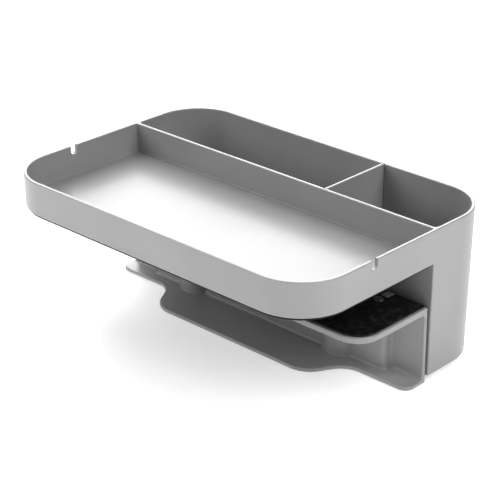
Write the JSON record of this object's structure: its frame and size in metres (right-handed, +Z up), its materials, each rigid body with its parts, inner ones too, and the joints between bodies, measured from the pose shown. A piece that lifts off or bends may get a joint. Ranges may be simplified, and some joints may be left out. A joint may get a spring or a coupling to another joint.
{
  "type": "clamp-on desk organiser",
  "caption": "Rounded desk-edge organiser: shallow tray, deep divided box behind it, and a sprung jaw below that grips the desk edge.",
  "frame": {"origin": "middle of the whole part at floor level, under the jaw's flange", "axes": "+X along the long side to the user's right, +Y away from the user and over the desk edge, +Z up"},
  "size_m": [0.229, 0.1568, 0.0918],
  "materials": {
    "grey_abs": "satin moulded ABS, light grey",
    "black_rubber": "matte, fine pebble grain",
    "nylon": "natural moulded nylon",
    "zinc_steel": "bright zinc plate"
  },
  "bodies": {
    "organiser": {"shell": "grey_abs", "tray_grip_sheet": "black_rubber", "slide_block_left": "nylon", "slide_block_right": "nylon", "block_screw_left_low": "zinc_steel", "block_screw_left_high": "zinc_steel", "block_screw_right_low": "zinc_steel", "block_screw_right_high": "zinc_steel"},
    "jaw": {"jaw_bracket": "grey_abs", "jaw_cover": "grey_abs", "jaw_grip_pad": "black_rubber", "guide_pin_left": "zinc_steel", "guide_pin_right": "zinc_steel", "stop_bumper_left": "black_rubber", "stop_bumper_right": "black_rubber", "jaw_spring_left": "zinc_steel", "jaw_spring_right": "zinc_steel", "pad_screw_left": "zinc_steel", "pad_screw_right": "zinc_steel", "cover_screw_1": "zinc_steel", "cover_screw_2": "zinc_steel", "cover_screw_3": "zinc_steel", "cover_screw_4": "zinc_steel", "cover_screw_5": "zinc_steel", "cover_screw_6": "zinc_steel"},
    "divider": {"cross_divider": "grey_abs"}
  },
  "joints": [
    {"name": "jaw_slide", "type": "slide", "parent": "organiser", "child": "jaw", "axis": [0, 0, 1], "range_m": [-0.017, 0], "stiffness_N_per_m": 1600, "springref_m": 0.006, "deforming": ["jaw_spring_left", "jaw_spring_right"]},
    {"name": "divider_lift", "type": "slide", "parent": "organiser", "child": "divider", "axis": [0, 0, 1], "range_m": [0, 0.088]}
  ]
}
